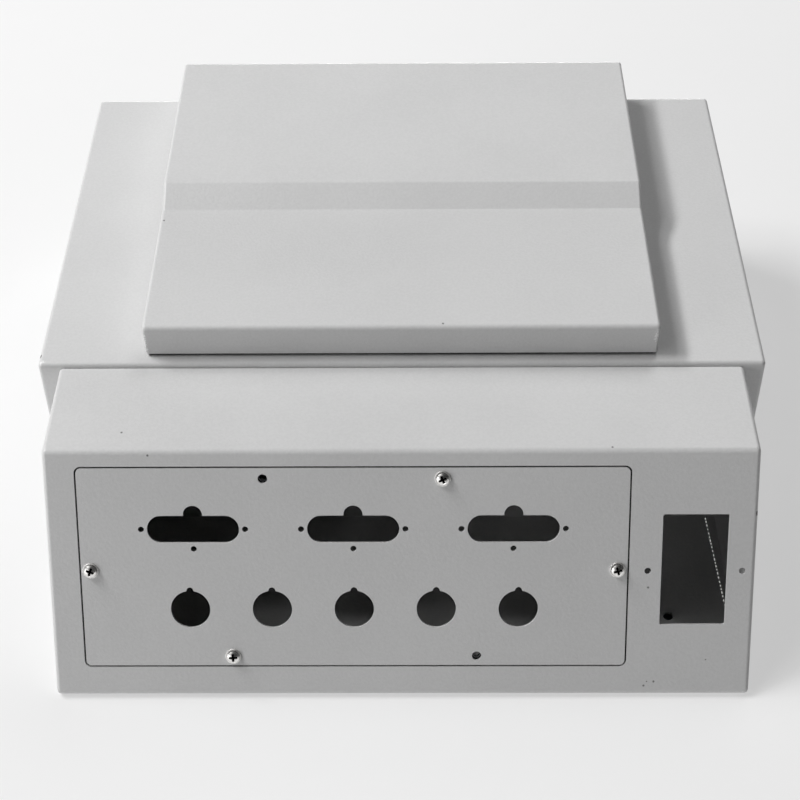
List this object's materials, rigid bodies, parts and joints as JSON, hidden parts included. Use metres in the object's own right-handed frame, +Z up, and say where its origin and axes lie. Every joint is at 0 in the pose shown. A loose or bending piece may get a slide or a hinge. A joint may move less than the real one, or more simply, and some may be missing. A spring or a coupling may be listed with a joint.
{
  "type": "control console housing",
  "caption": "Folded sheet-steel control console housing: a main box under a hinged, stepped lid, and a lower sloped console in front with a flush connector panel and a cut-out.",
  "frame": {"origin": "on the floor, under the middle of the whole object's box", "axes": "+X to the right seen from the front, +Y to the back, +Z up; the sloped console faces -Y"},
  "size_m": [0.4264, 0.4188, 0.1639],
  "materials": {
    "shell_paint": "light grey powder coat with a fine orange peel",
    "panel_fasteners": "bright nickel plate",
    "zinc_fasteners": "zinc plate",
    "hinge_steel": "zinc plate",
    "gasket_rubber": "matt black rubber"
  },
  "bodies": {
    "housing": {"housing_shell": "shell_paint", "console_shell": "shell_paint", "connector_panel": "shell_paint", "panel_frame": "shell_paint", "base_plate": "shell_paint", "panel_screws": "panel_fasteners", "panel_washers": "panel_fasteners", "panel_weld_nuts": "zinc_fasteners", "base_screws": "zinc_fasteners", "base_weld_nuts": "zinc_fasteners", "console_bolts": "zinc_fasteners", "console_nuts": "zinc_fasteners", "hinge_housing_rivets": "zinc_fasteners", "earth_stud_washers": "zinc_fasteners", "earth_stud_nut": "zinc_fasteners", "earth_stud": "zinc_fasteners", "left_hinge_housing_leaf": "hinge_steel", "left_hinge_pin": "hinge_steel", "right_hinge_housing_leaf": "hinge_steel", "right_hinge_pin": "hinge_steel", "lid_gasket": "gasket_rubber"},
    "lid": {"lid": "shell_paint", "left_hinge_lid_leaf": "hinge_steel", "right_hinge_lid_leaf": "hinge_steel", "hinge_lid_rivets": "zinc_fasteners"}
  },
  "joints": [
    {"name": "lid_hinge", "type": "hinge", "parent": "housing", "child": "lid", "pos_m": [0, 0.20624, 0.1345], "axis": [-1, 0, 0], "range_deg": [0, 170]}
  ]
}
